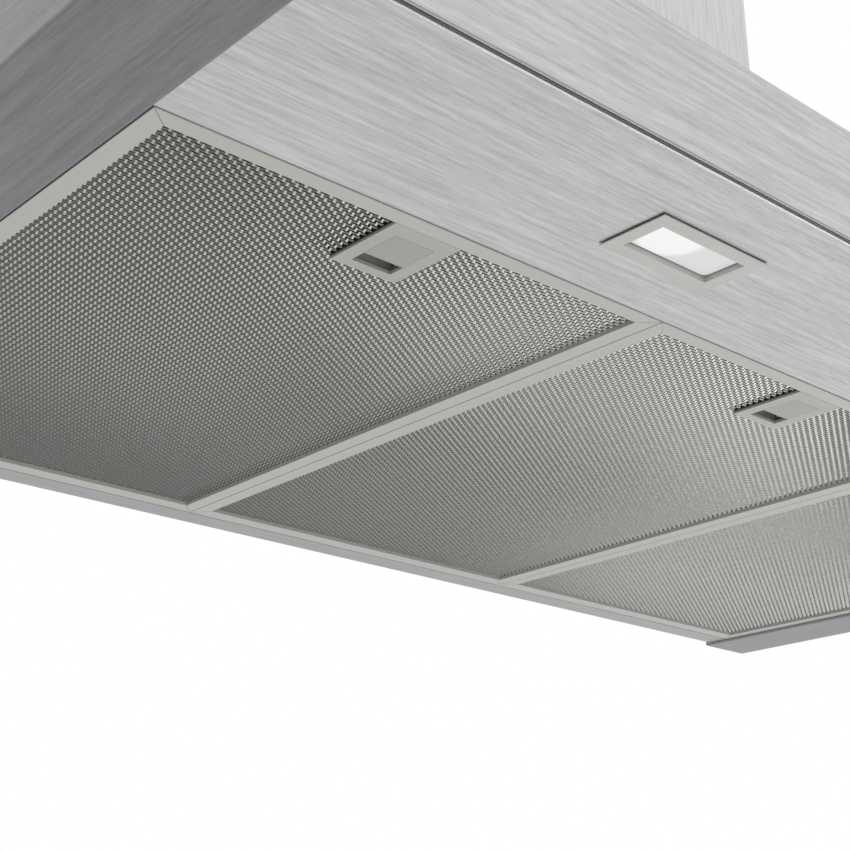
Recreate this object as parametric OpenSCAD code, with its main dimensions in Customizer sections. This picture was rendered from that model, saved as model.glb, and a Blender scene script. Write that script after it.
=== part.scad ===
// Wall hood: a flat box canopy with three swing-down grease filters, two lamps and
// a row of push-buttons, a double-inlet blower in a suction box, and a flue in two
// telescopic lengths.
// The frame's origin is the centre of the four wall screws, on the wall plane.
// +X runs to the right along the wall, +Y points into the wall and +Z is up.
// The modules use heights above the canopy's lowest face, and from_underside()
// moves what they make down to the frame.

/* [Canopy] */
// Overall width of the hood
hood_w = 898; // [840:1:1100]
// Overall depth from the wall to the front face
hood_d = 500; // [480:1:560]
// Height of the canopy box
canopy_h = 54; // [50:1:80]
// Thickness of the folded steel sheet
sheet_t = 1; // [0.8:0.1:1.4]
// Inner radius of the folds
bend_r = 0.5; // [0.4:0.1:1.5]
// Clearance between neighbouring sheets
seam = 0.2; // [0.1:0.05:0.4]
// Width of the bottom flange on each side panel
side_flange_w = 50; // [40:1:65]
// Width of the side panels' top flanges
side_top_flange = 15; // [10:1:30]
// Width of the rear flanges that stand against the wall
side_rear_flange = 20; // [12:1:40]
// Height of the upturned lips round the filter opening
lip_h = 13; // [12.5:0.5:18]
// Width of the back rail's bottom flange
back_flange_w = 19; // [16:0.5:26]
// Radius of the rolled edge that the filters hook over
rail_roll_r = 1.2; // [1:0.1:1.4]
// Height of the back rail's upright
rail_h = 30; // [22:1:40]
// How far the side flanges stand below the filters
flange_step = 1.5; // [1:0.1:3]
// Depth of the front strip that holds the lamps
strip_d = 98.5; // [85:0.5:115]
// Inner radius of the front strip's folds
strip_bend_r = 0.2; // [0.2:0.1:0.8]
// Height of the front strip's folded front edge
strip_front_h = 16; // [10:1:18]
// Open seam between the front strip and the front panel
front_seam = 1.2; // [0.8:0.1:2]
// Height of the hem folded behind the front panel's lower edge
hem_h = 10; // [6:1:14]
// Gap inside the hem
hem_gap = 0.3; // [0.2:0.1:0.6]
// Height of the front panel's lower edge above the side flanges
panel_low = 0.5; // [0:0.1:1.5]
// Depth of the front panel's top fold
panel_return = 14; // [10:1:25]
// Radius of the flush rivets at the side flanges' corners
rivet_r = 1.8; // [1.2:0.1:2.4]
// Clearance round a rivet
rivet_clear = 0.2; // [0.05:0.05:0.3]
// Distance of a rivet from the flange's end and from its inner edge
rivet_inset = 13.5; // [8:0.5:20]

/* [Filters] */
// Gap between neighbouring filters
filter_gap = 0.6; // [0.5:0.1:2]
// Gap between an outer filter and the side panel
filter_side_gap = 1.4; // [0.8:0.1:2.5]
// Gap between the filters and the back rail
filter_rear_gap = 0.6; // [0.5:0.1:1.2]
// Gap between the filters and the front strip
filter_front_gap = 0.4; // [0.4:0.1:1]
// Thickness of a filter
filter_t = 10; // [9:0.5:11]
// Thickness of the filter frame's aluminium sheet
frame_t = 1; // [0.8:0.1:1.2]
// Width of the frame's side members
frame_side_w = 8.8; // [7:0.1:14]
// Width of the frame's front member
frame_front_w = 7.8; // [7:0.1:12]
// Width of the frame's rear member
frame_rear_w = 10; // [7:0.1:14]
// Width of the frame's mitre seams
mitre_w = 0.3; // [0.2:0.05:0.5]
// Depth of the frame's mitre seams
mitre_t = 0.5; // [0.2:0.1:0.6]
// Depth of the mesh above the frame's lower face
mesh_recess = 3; // [2.4:0.1:3.4]
// Thickness of the mesh
mesh_t = 1.4; // [0.8:0.1:1.6]
// Long way of a mesh diamond, along the filter's width
mesh_lwd = 32; // [28:0.5:40]
// Short way of a mesh diamond, along the filter's depth
mesh_swd = 19.4; // [17:0.1:26]
// Width of a mesh strand
strand_w = 3.2; // [2:0.1:5]
// Thickness of the mesh pack inside the filter
core_t = 3.6; // [2:0.1:3.9]
// Clearance round the mesh and the mesh pack
mesh_clear = 0.3; // [0.2:0.1:0.6]
// Distance of each claw from the filter's centre line
claw_x = 90; // [40:1:110]
// Width of a claw
claw_w = 14; // [8:1:24]
// Thickness of a claw
claw_t = 1.2; // [0.8:0.1:1.4]
// Clearance between a claw and the rolled edge
claw_fit = 0.35; // [0.3:0.05:0.5]

/* [Filter latches] */
// Width of the latch housing's face
latch_w = 34.5; // [32:0.5:44]
// Length of the latch housing's face
latch_l = 41; // [40:0.5:50]
// Height of the latch housing
latch_h = 9.5; // [9.2:0.1:9.9]
// Wall of the latch housing
latch_wall = 1.6; // [1.2:0.1:1.8]
// Width of the knob's face
knob_w = 20.6; // [16:0.1:21]
// Length of the knob's face
knob_l = 19.3; // [16:0.1:20]
// Distance of the knob's face from the housing's front edge
knob_inset = 8.3; // [7:0.1:9]
// Length of the open finger recess behind the knob
recess_l = 8; // [7:0.1:9.5]
// Travel of the knob
latch_travel = 6; // [5.5:0.1:6.2]
// Clearance round the knob
knob_clear = 0.15; // [0.1:0.05:0.25]
// Width of the tongue
tongue_w = 12; // [8:0.5:16]
// Thickness of the tongue
tongue_t = 1.8; // [1.2:0.1:2]
// How far the tongue reaches past the filter's front edge
tongue_reach = 4.5; // [3:0.1:5]
// Clearance round the tongue
tongue_clear = 0.3; // [0.3:0.05:0.5]
// Outer radius of the latch spring
spring_r = 1.35; // [1:0.05:1.4]
// Radius of the spring's wire
spring_wire_r = 0.25; // [0.2:0.05:0.3]
// Turns of the latch spring
spring_turns = 7; // [5:1:9]

/* [Lamps] */
// Distance of each lamp from the hood's centre
lamp_x = 178; // [120:1:260]
// Width of the lamp bezel
lamp_w = 65.2; // [62:0.1:90]
// Depth of the lamp bezel
lamp_d = 34; // [31:0.1:50]
// How far the bezel stands below the front strip
lamp_proud = 1; // [0.8:0.1:1.4]
// Thickness of the bezel's overhanging rim
lamp_rim_t = 0.5; // [0.3:0.1:0.6]
// How far the bezel's rim overhangs
lamp_overhang = 1.4; // [0.6:0.1:2]
// Width of the lamp window
lamp_window_w = 51.3; // [40:0.1:52]
// Depth of the lamp window
lamp_window_d = 20.5; // [14:0.1:21]
// Depth of the lens above the bezel's face
lens_recess = 2.5; // [2:0.1:4]
// Thickness of the lens with its raised face
lens_t = 2.6; // [2.2:0.1:3.2]
// How far the lens's face hangs below the bezel's ledge
lens_face_drop = 0.6; // [0.3:0.1:0.8]
// Gap round the lens's face in the window
lens_rim = 0.7; // [0.5:0.1:1.2]
// Corner radius of the lens's face
lens_corner_r = 3; // [1:0.5:5]
// How far the lens reaches over the window's edge
lens_ledge = 1; // [0.6:0.1:1.5]
// Clearance round the lens and the board
lens_clear = 0.15; // [0.1:0.05:0.3]
// Wall of the lamp body
lamp_wall = 1.6; // [1.2:0.1:2]
// Height of the lamp body above the front strip's lower face
lamp_body_h = 15; // [12:0.5:20]
// Thickness of the lamp's circuit board
board_t = 1.6; // [1:0.1:2]
// Height of the circuit board above the lens
board_rise = 6; // [4:0.5:7]
// Radius of the round light-emitting disc
led_r = 8; // [4:0.5:9]
// Distance of the lamp driver's centre from the front strip's end
driver_inset = 99; // [80:1:120]
// Length of the lamp driver
driver_l = 110; // [80:1:130]
// Depth of the lamp driver
driver_d = 46; // [30:1:60]
// Height of the lamp driver
driver_h = 26; // [18:1:32]

/* [Push-buttons] */
// Diameter of a push-button
button_d = 11; // [8:0.5:13]
// Radius of the shallow dish in a push-button's face
dish_r = 28.4; // [20:0.1:60]
// Depth of the dish
dish_depth = 0.4; // [0.2:0.1:0.6]
// Spacing of the push-buttons
button_pitch = 22; // [16:0.5:26]
// Travel of a push-button
button_travel = 1.5; // [1:0.1:1.8]
// Radial clearance round a push-button
button_fit = 0.2; // [0.15:0.05:0.3]
// Depth of the button insert behind the panel's face
insert_face = 0.8; // [0.4:0.1:0.9]
// Thickness of the button insert
insert_t = 8; // [6:0.5:10]
// Width of the button insert
insert_w = 126; // [120:1:150]
// Height of the button insert
insert_h = 18; // [16:0.5:20]
// Height of the buttons' centre line above the canopy's lowest face
button_h = 31; // [30:0.5:34]
// Size of a switch behind a button
switch_w = 6; // [5:0.5:8]
// Height of a switch behind a button
switch_l = 2.7; // [2.5:0.1:4]

/* [Wall plate] */
// Width of the wall plate
plate_w = 260; // [250:1:260]
// Thickness of the wall plate
plate_t = 2.5; // [2:0.1:3]
// Height of the wall plate's top above the canopy's lowest face
plate_top = 270; // [262:1:290]
// Height of the screw pattern's centre above the canopy's lowest face
bolt_h = 175; // [160:1:178]
// Spacing of the wall screws across
bolt_span_x = 234; // [232:1:238]
// Spacing of the wall screws in height
bolt_span_z = 140; // [100:1:150]
// Diameter of the wall screw holes
bolt_d = 8.5; // [6:0.5:9]
// Distance of the wall plate's foot from the plate's sides
foot_inset = 20; // [17:1:40]
// Depth of the wall plate's side folds
plate_fold = 12; // [8:1:20]

/* [Blower] */
// Width of the suction box
box_w = 208; // [200:1:212]
// Depth of the suction box
box_d = 226; // [220:1:234]
// Height of the suction box
box_h = 250; // [240:1:270]
// Width of the suction box's bottom flange
box_flange = 14; // [12:1:16]
// Width of the blower scroll
scroll_w = 146; // [140:1:150]
// Wall of the blower scroll
scroll_wall = 2.5; // [2:0.1:3]
// Gap between the impeller and the scroll's tongue
tongue_gap = 8; // [6:0.5:10]
// How much the scroll's radius grows up to its outlet
scroll_growth = 20; // [14:0.5:22]
// Direction of the scroll's tongue, from the wall side upwards
tongue_angle = 120; // [108:12:132]
// Height of the impeller's axis above the canopy's lowest face
axle_h = 165; // [162:1:175]
// Diameter of the impeller
impeller_d = 152; // [146:1:154]
// Width of the impeller
impeller_w = 112; // [100:1:118]
// Depth of an impeller blade
blade_depth = 12; // [10:0.5:14]
// Number of impeller blades
blade_count = 32; // [24:1:36]
// Thickness of an impeller blade
blade_t = 1.1; // [0.8:0.1:1.4]
// How far a blade leans forward, in degrees
blade_sweep = 9; // [5:1:12]
// Diameter of the scroll's two inlets
inlet_d = 124; // [116:1:128]
// Diameter of the motor
motor_d = 84; // [70:1:96]
// Length of the motor
motor_l = 48; // [36:1:50]
// Diameter of the motor shaft
shaft_d = 8; // [6:0.5:10]
// Radial running clearance of the shaft
shaft_fit = 0.05; // [0.02:0.01:0.09]
// Diameter of the impeller's hub
hub_d = 24; // [18:1:30]
// Thickness of the motor bracket
bracket_t = 3; // [2:0.5:4]
// Thickness of the electronics box
electronics_t = 30; // [24:1:34]
// Depth of the electronics box along the suction box
electronics_d = 120; // [100:1:150]
// Height of the electronics box
electronics_l = 110; // [90:1:120]
// Height of the electronics box above the canopy
electronics_rise = 40; // [20:1:60]
// Bore of the cable gland
gland_bore_d = 8; // [6:0.5:9]
// Diameter of the cable gland's dome
gland_d = 18; // [16:0.5:20]

/* [Duct collar] */
// Outer diameter of the duct collar
duct_d = 150; // [140:1:152]
// Wall of the duct collar
collar_wall = 2; // [1.6:0.1:2.5]
// Length of the duct collar
collar_l = 55; // [50:1:80]
// Thickness of the collar's base plate
collar_base_t = 3; // [2:0.1:4]
// Rim of the collar's base plate outside the duct
collar_rim = 10; // [6:1:14]
// Diameter of the flap pin
pin_d = 3; // [2.5:0.1:4]
// Radial running clearance of the flaps on the pin
pin_fit = 0.06; // [0.03:0.01:0.09]
// Height of the flap pin above the collar's base plate
pin_rise = 9; // [8:0.5:12]
// Thickness of a flap
flap_t = 1.5; // [1:0.1:2]
// Outer diameter of a flap's knuckle
knuckle_d = 7; // [6:0.5:8]
// Clearance between a flap and the collar
flap_clear = 1.2; // [0.8:0.1:2]

/* [Flue] */
// Width of the lower flue
flue_w = 300; // [298:1:320]
// Depth of the lower flue from the wall
flue_d = 264; // [258:1:300]
// Height of the closed hood, up to the top of the upper flue
closed_h = 628; // [520:1:720]
// How far the closed upper flue stands out above the lower one
flue_reveal = 8; // [7.5:0.5:20]
// Height of the closed upper flue's lower end above the canopy
flue_foot = 12; // [8:1:20]
// Clearance between the two flues
flue_clear = 0.7; // [0.5:0.1:1.2]
// Width of the flues' rear lips
flue_lip = 17; // [10:1:17]
// Number of air slots on each side of the upper flue
slot_count = 7; // [3:1:9]
// Length of an air slot
slot_l = 90; // [60:1:140]
// Width of an air slot
slot_w = 3.6; // [2.5:0.1:4]
// Spacing of the air slots
slot_pitch = 9; // [7:0.5:12]
// Distance of the highest air slot below the ceiling bracket
slot_head = 20; // [14:1:40]
// Height of the ceiling bracket
bracket_h = 26; // [20:1:40]
// Thickness of the ceiling bracket
strap_t = 2; // [1.5:0.1:2.5]
// Length of the ceiling bracket's legs along the upper flue
leg_l = 40; // [32:1:60]
// Distance of the flue screws from the ceiling bracket's rear fold
flue_screw_back = 25; // [12:1:27]
// Distance of the flue screws from the upper flue's top
flue_screw_drop = 4.2; // [3.8:0.1:4.4]
// Spacing of the ceiling bracket's wall holes
strap_span = 180; // [120:1:220]
// Diameter of the ceiling bracket's wall holes
strap_hole_d = 6; // [4:0.5:8]

/* [Hidden] */
$fn = 48;

// Places along the depth, from the wall at zero to the front face
back_wall_y = -plate_t;
rail_y = back_wall_y - sheet_t;
rail_edge_y = rail_y - back_flange_w;
roll_y = rail_edge_y + rail_roll_r;
hem_t = 2 * sheet_t + hem_gap;
strip_front_y = -hood_d + hem_t + front_seam;
strip_rear_y = strip_front_y + strip_d;
filter_front_y = strip_rear_y + filter_front_gap;
filter_rear_y = rail_edge_y - filter_rear_gap;
top_front_y = -hood_d + panel_return + seam;

// The opening between the side flanges, and the three filters that fill it
opening_w = hood_w - 2 * side_flange_w;
filter_w = (opening_w - 2 * filter_side_gap - 2 * filter_gap) / 3;
filter_pitch = filter_w + filter_gap;
filter_d = filter_rear_y - filter_front_y;
face_w = filter_w - 2 * frame_side_w;
face_d = filter_d - frame_front_w - frame_rear_w;

// Heights above the canopy's lowest face
face_h = flange_step;
roll_h = face_h + rail_roll_r;
mesh_h = face_h + mesh_recess;
pack_h = mesh_h + mesh_t + 0.1;
tongue_h = mesh_h + mesh_t + tongue_clear;
box_top_h = canopy_h + box_h;
collar_h = box_top_h + collar_base_t;
pin_h = collar_h + pin_rise;

// Latch places, measured back from the filter's front edge
latch_front = frame_front_w + 0.2;
latch_rear = latch_front + latch_l;
knob_front = latch_front + knob_inset;
knob_rear = knob_front + knob_l;
recess_rear = knob_rear + recess_l;
carriage_w = knob_w + 3.6;
pocket_w = 2 * spring_r + 0.5;
spring_x = carriage_w / 2 + knob_clear + pocket_w / 2;
ear_rear = latch_front + 12;
spring_front = ear_rear + 0.3;
spring_rear = latch_rear - latch_wall - 2.4;

// Blower places
blower_y = back_wall_y - box_d / 2;
shaft_r = shaft_d / 2;
volute_r = impeller_d / 2 + tongue_gap;
outlet_half = duct_d / 2 - collar_wall - 3;
scroll_side_x = scroll_w / 2;
inlet_r = inlet_d / 2;
motor_gap = 2;
hub_front = 12;
motor_x = -hub_front - motor_gap;

// Flue places
duct_bore_r = duct_d / 2 - collar_wall;
flue_inset = sheet_t + flue_clear;
upper_half = flue_w / 2 - flue_inset;
upper_d = flue_d - flue_inset;
upper_low_h = canopy_h + flue_foot;
upper_flue_l = closed_h - upper_low_h;
lower_flue_l = closed_h - flue_reveal - canopy_h;
slots_top_h = closed_h - bracket_h - slot_head;

driver_x = opening_w / 2 - driver_inset;
lens_w = lamp_window_w + 2 * lens_ledge;
lens_d = lamp_window_d + 2 * lens_ledge;
pocket_lens_w = lens_w + 2 * lens_clear;
pocket_lens_d = lens_d + 2 * lens_clear;
lamp_body_w = pocket_lens_w + 2 * lamp_wall;
lamp_body_d = pocket_lens_d + 2 * lamp_wall;
lamp_y = (strip_front_y + strip_rear_y) / 2;
lamp_face_h = face_h - lamp_proud;
lens_h = lamp_face_h + lens_recess;
lens_flange_t = 1;
lens_flange_h = lens_h + lens_t - lens_flange_t;
lens_face_w = lamp_window_w - 2 * lens_rim;
lens_face_d = lamp_window_d - 2 * lens_rim;
lamp_board_h = lens_h + lens_t + board_rise;
cutout_clear = 0.3;

screw_r = 2;
flue_screw_r = 1.6;
screw_clear = 0.15;

steel = "#c4c5c6";
dark_steel = "#8f9193";
zinc = "#b4b8bb";
filter_alu = "#aeafa8";
mesh_alu = "#9fa19e";
latch_grey = "#a5a6a0";
black_plastic = "#2c2d2f";

module from_underside() {
    translate([0, 0, -bolt_h]) children();
}

// A profile drawn in Y and Z, run along X and centred
module along_x(len) {
    rotate([90, 0, 90]) linear_extrude(height = len, center = true) children();
}

// A profile drawn in X and Z, run along Y between two places
module along_y(y0, y1) {
    translate([0, y1, 0]) rotate([90, 0, 0]) linear_extrude(height = y1 - y0) children();
}

module centred_box(w, d, h) {
    translate([-w / 2, -d / 2, 0]) cube([w, d, h]);
}

function direction(a, b) = (b - a) / norm(b - a);

// Cross-section of a sheet folded at right angles along its middle line
module folded_sheet(pts, t, r) {
    last = len(pts) - 1;
    difference() {
        for (i = [0 : last - 1]) {
            d = direction(pts[i], pts[i + 1]);
            side = [d.y, -d.x] * t / 2;
            a = pts[i] - (i > 0 ? t / 2 : 0) * d;
            b = pts[i + 1] + (i < last - 1 ? t / 2 : 0) * d;
            polygon([a + side, b + side, b - side, a - side]);
        }
        for (i = [1 : last - 1]) at_bend(pts, i, r + t / 2) difference() {
            square(r + 2 * t);
            circle(r = r + t);
        }
    }
    for (i = [1 : last - 1]) at_bend(pts, i, r + t / 2) difference() {
        square(r + t / 2);
        circle(r = r);
    }
}

// The centre of a fold, with both axes pointing out of the fold
module at_bend(pts, i, mid_r) {
    d1 = direction(pts[i - 1], pts[i]);
    d2 = direction(pts[i], pts[i + 1]);
    out = d1 - d2;
    translate(pts[i] - mid_r * out) rotate(atan2(out.y, out.x) - 45) children();
}

// Folded steel top with the back wall, the air opening and the box's screw holes
module canopy_top() color(steel) from_underside() {
    fold_y = back_wall_y - sheet_t - bend_r;
    wall_low = lip_h + seam;
    difference() {
        union() {
            translate([-hood_w / 2, top_front_y, canopy_h - sheet_t])
                cube([hood_w, fold_y - top_front_y, sheet_t]);
            for (s = [-1, 1])
                translate([s * (hood_w / 2 - sheet_t / 2) - sheet_t / 2, fold_y, canopy_h - sheet_t])
                    cube([sheet_t, -fold_y, sheet_t]);
            along_x(hood_w - 2 * sheet_t - 2 * seam) folded_sheet([
                [fold_y - 1, canopy_h - sheet_t / 2],
                [back_wall_y - sheet_t / 2, canopy_h - sheet_t / 2],
                [back_wall_y - sheet_t / 2, wall_low]], sheet_t, bend_r);
        }
        translate([0, blower_y, canopy_h - 2 * sheet_t]) centred_box(box_w - 16, box_d - 16, 3 * sheet_t);
        at_box_screws() translate([0, 0, -3]) cylinder(r = screw_r + screw_clear, h = 6);
    }
}

// Right-hand side panel: top flange, wall, bottom flange with its lip, rear flange
module side_panel_shape() from_underside() {
    wall_x = hood_w / 2 - sheet_t / 2;
    top_h = canopy_h - 1.5 * sheet_t;
    relief_y = back_wall_y - sheet_t - bend_r - 1;
    difference() {
        union() {
            along_y(strip_front_y, 0) folded_sheet([
                [wall_x - side_top_flange, top_h],
                [wall_x, top_h],
                [wall_x, sheet_t / 2],
                [opening_w / 2 + sheet_t / 2, sheet_t / 2],
                [opening_w / 2 + sheet_t / 2, lip_h]], sheet_t, bend_r);
            translate([hood_w / 2 - side_rear_flange, -sheet_t, sheet_t / 2])
                cube([side_rear_flange - sheet_t / 2, sheet_t, canopy_h - 3 * sheet_t]);
        }
        translate([wall_x - side_top_flange - 1, relief_y, canopy_h - 3 * sheet_t])
            cube([side_top_flange + 1 - sheet_t / 2, -relief_y + 1, 3 * sheet_t]);
        for (y = [-rivet_inset, strip_front_y + rivet_inset])
            translate([opening_w / 2 + rivet_inset, y, -1])
                cylinder(r = rivet_r + rivet_clear, h = sheet_t + 2);
    }
}

module side_panel_right() color(dark_steel) side_panel_shape();
module side_panel_left() color(dark_steel) mirror([1, 0, 0]) side_panel_shape();

// Flush rivets, two on each side flange
module corner_rivets() color(zinc) from_underside() {
    for (s = [-1, 1], y = [-rivet_inset, strip_front_y + rivet_inset])
        translate([s * (opening_w / 2 + rivet_inset), y, 0]) {
            cylinder(r = rivet_r, h = sheet_t);
            translate([0, 0, sheet_t]) cylinder(r = rivet_r + 1, h = 0.8);
        }
}

// Back rail with the rolled front edge that carries the filters' claws
module back_rail() color(steel) from_underside() {
    along_x(opening_w - 2 * seam) {
        folded_sheet([
            [rail_y - sheet_t / 2, rail_h],
            [rail_y - sheet_t / 2, face_h + sheet_t / 2],
            [roll_y, face_h + sheet_t / 2]], sheet_t, bend_r);
        translate([roll_y, roll_h]) circle(r = rail_roll_r);
    }
}

// Front strip with the lamp cut-outs and the slots for the latch tongues
module front_strip() color(steel) from_underside() {
    difference() {
        along_x(opening_w - 2 * seam) folded_sheet([
            [strip_rear_y - sheet_t / 2, lip_h],
            [strip_rear_y - sheet_t / 2, face_h + sheet_t / 2],
            [strip_front_y + sheet_t / 2, face_h + sheet_t / 2],
            [strip_front_y + sheet_t / 2, strip_front_h]], sheet_t, strip_bend_r);
        for (s = [-1, 1]) translate([s * lamp_x, lamp_y, face_h - 1])
            centred_box(lamp_body_w + 2 * cutout_clear, lamp_body_d + 2 * cutout_clear, sheet_t + 2);
        for (i = [-1 : 1]) translate([i * filter_pitch, strip_rear_y - sheet_t / 2, tongue_h - tongue_clear])
            centred_box(tongue_w + 2 * tongue_clear, 3 * sheet_t, tongue_t + 2 * tongue_clear);
    }
}

// Front panel: hemmed lower edge, top fold, and the window for the button insert
module front_panel() color(steel) from_underside() {
    hem_mid_y = -hood_d + sheet_t + hem_gap / 2;
    hem_mid_h = panel_low + sheet_t + hem_gap / 2;
    difference() {
        along_x(hood_w) {
            folded_sheet([
                [-hood_d + panel_return, canopy_h - sheet_t / 2],
                [-hood_d + sheet_t / 2, canopy_h - sheet_t / 2],
                [-hood_d + sheet_t / 2, hem_mid_h]], sheet_t, bend_r);
            difference() {
                union() {
                    translate([-hood_d, hem_mid_h]) square([hem_t, hem_h]);
                    translate([hem_mid_y, hem_mid_h]) circle(r = hem_t / 2);
                }
                translate([hem_mid_y - hem_gap / 2, hem_mid_h]) square([hem_gap, hem_h + 1]);
                translate([hem_mid_y, hem_mid_h]) circle(r = hem_gap / 2);
            }
        }
        translate([0, -hood_d, button_h - insert_h / 2 - cutout_clear])
            centred_box(insert_w + 2 * cutout_clear, 4 * sheet_t, insert_h + 2 * cutout_clear);
    }
}

// Wall plate with side folds above the canopy and four screw holes
module wall_plate() color(zinc) from_underside() {
    fold_x = plate_w / 2 - plate_t / 2;
    foot_w = plate_w - 2 * foot_inset;
    foot_low = lip_h + 2;
    difference() {
        union() {
            translate([0, 0, canopy_h + 1]) linear_extrude(height = plate_top - canopy_h - 1) folded_sheet([
                [-fold_x, -plate_fold],
                [-fold_x, -plate_t / 2],
                [fold_x, -plate_t / 2],
                [fold_x, -plate_fold]], plate_t, plate_t / 2);
            translate([-foot_w / 2, -plate_t, foot_low]) cube([foot_w, plate_t, canopy_h + 2 - foot_low]);
        }
        for (sx = [-1, 1], sz = [-1, 1])
            translate([sx * bolt_span_x / 2, 1, bolt_h + sz * bolt_span_z / 2])
                rotate([90, 0, 0]) cylinder(r = bolt_d / 2, h = plate_t + 2);
    }
}

module at_box_screws() {
    for (s = [-1, 1], k = [-1 : 1])
        translate([s * (box_w + box_flange) / 2, blower_y + k * box_d / 3, canopy_h]) children();
}

// Pan-head screws that hold the suction box on the canopy top
module box_screws() color(zinc) from_underside() at_box_screws() {
    translate([0, 0, -6]) cylinder(r = screw_r, h = 6 + sheet_t);
    translate([0, 0, sheet_t]) difference() {
        union() {
            cylinder(r = 3.8, h = 1.4);
            translate([0, 0, 1.4]) cylinder(r1 = 3.8, r2 = 2.4, h = 1);
        }
        translate([0, 0, 1.2]) centred_box(0.9, 5, 2);
        translate([0, 0, 1.2]) centred_box(5, 0.9, 2);
    }
}

// Suction box: open below, with the outlet in its top and flanges on three sides
module suction_box() color(zinc) from_underside() translate([0, blower_y, canopy_h]) {
    difference() {
        union() {
            centred_box(box_w, box_d, box_h);
            translate([0, -box_flange / 2, 0])
                centred_box(box_w + 2 * box_flange, box_d + box_flange, sheet_t);
        }
        translate([0, 0, -1]) centred_box(box_w - 2 * sheet_t, box_d - 2 * sheet_t, box_h - sheet_t + 1);
        cylinder(r = outlet_half, h = box_h + 1);
        translate([0, -blower_y, -canopy_h]) at_box_screws()
            cylinder(r = screw_r + screw_clear, h = 10, center = true);
    }
}

// Outline of the scroll in Y and Z, its volute first and then its outlet
function volute(extra) = [
    for (a = [tongue_angle : 12 : 360])
        let (r = volute_r + scroll_growth * (a - tongue_angle) / (360 - tongue_angle) + extra)
            [blower_y + r * cos(a), axle_h + r * sin(a)]
];

module scroll_outline(extra, top) {
    polygon(concat(volute(extra), [
        [blower_y + outlet_half + extra, top],
        [blower_y - outlet_half - extra, top]]));
}

// Right-hand half of the moulded scroll, with its inlet ring
module scroll_half() from_underside() {
    top = box_top_h - sheet_t;
    lip = 6;
    difference() {
        union() {
            difference() {
                translate([scroll_side_x / 2, 0, 0]) along_x(scroll_side_x) scroll_outline(scroll_wall, top);
                translate([(scroll_side_x - scroll_wall) / 2 - 1, 0, 0])
                    along_x(scroll_side_x - scroll_wall + 2) scroll_outline(0, top + 1);
            }
            translate([scroll_side_x - lip, blower_y, axle_h]) rotate([0, 90, 0])
                cylinder(r = inlet_r + scroll_wall, h = lip);
        }
        translate([scroll_side_x - lip - 1, blower_y, axle_h]) rotate([0, 90, 0])
            cylinder(r = inlet_r, h = lip + 2);
    }
}

module scroll_right() color(black_plastic) scroll_half();
module scroll_left() color(black_plastic) mirror([1, 0, 0]) scroll_half();

module at_axle(x) {
    translate([x, blower_y, axle_h]) rotate([90, 0, 90]) children();
}

// Cross-section of one forward-curved blade, curling in the turning direction
module blade() {
    r0 = impeller_d / 2 - blade_depth;
    steps = 4;
    arc = [for (i = [0 : steps]) let (t = i / steps) [r0 + (blade_depth - 0.5) * t, blade_sweep * t * t]];
    half = blade_t / 2 * 57.3 / r0;
    polygon(concat(
        [for (p = arc) p.x * [cos(p.y + half), sin(p.y + half)]],
        [for (i = [steps : -1 : 0]) let (p = arc[i]) p.x * [cos(p.y - half), sin(p.y - half)]]));
}

// Double-inlet impeller: blades between two end rings, a middle disc and a hub
module impeller() color("#3a3b3d") from_underside() {
    ring_t = 2;
    disc_t = 2;
    r = impeller_d / 2;
    difference() {
        union() {
            at_axle(-impeller_w / 2) linear_extrude(height = impeller_w)
                for (i = [0 : blade_count - 1]) rotate(i * 360 / blade_count) blade();
            for (x = [-impeller_w / 2, impeller_w / 2 - ring_t]) at_axle(x) difference() {
                cylinder(r = r, h = ring_t);
                translate([0, 0, -1]) cylinder(r = r - blade_depth - 1, h = ring_t + 2);
            }
            at_axle(-disc_t / 2) cylinder(r = r - 2, h = disc_t);
            at_axle(-hub_front) cylinder(r = hub_d / 2, h = hub_front + 8);
        }
        at_axle(-hub_front - 1) cylinder(r = shaft_r + 0.02, h = hub_front + 12);
        for (a = [0 : 60 : 300]) at_axle(-disc_t) rotate(a) translate([r * 0.5, 0, 0])
            cylinder(r = 7, h = 2 * disc_t);
    }
}

// Motor with its laminated stator between two end bells, bored for the shaft
module motor() color("#8d9296") from_underside() at_axle(motor_x - motor_l) rotate_extrude() {
    r = motor_d / 2;
    bore_r = shaft_r + shaft_fit;
    polygon([
        [bore_r, 0], [r - 14, 0], [r - 12, 4], [r - 5, 4], [r - 2, 9], [r - 2, motor_l / 4],
        [r, motor_l / 4], [r, motor_l * 3 / 4], [r - 2, motor_l * 3 / 4], [r - 2, motor_l - 7],
        [r - 5, motor_l - 3], [bore_r + 8, motor_l - 3], [bore_r + 8, motor_l], [bore_r, motor_l]]);
}

// Steel shaft from behind the motor to the impeller's hub
module motor_shaft() color("#c9ccce") from_underside() {
    at_axle(motor_x - motor_l - 4) cylinder(r = shaft_r, h = motor_l + 4 + motor_gap + hub_front + 6);
}

// Bracket on the left inlet: a ring, three arms and a boss behind the motor
module motor_bracket() color(zinc) from_underside() {
    hub_r = shaft_r + 12;
    ring_r = inlet_r + scroll_wall + 6;
    plane_x = -scroll_side_x - bracket_t;
    difference() {
        union() {
            at_axle(plane_x) difference() {
                cylinder(r = ring_r, h = bracket_t);
                translate([0, 0, -1]) cylinder(r = inlet_r, h = bracket_t + 2);
            }
            for (a = [30, 150, 270]) at_axle(plane_x) rotate(a) translate([0, -5, 0])
                cube([inlet_r + 2, 10, bracket_t]);
            at_axle(plane_x) cylinder(r = hub_r, h = motor_x - motor_l - plane_x);
        }
        at_axle(plane_x - 1) cylinder(r = shaft_r + 1, h = scroll_w);
    }
}

electronics_x = -box_w / 2 - electronics_t;
electronics_h = canopy_h + electronics_rise;

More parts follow.
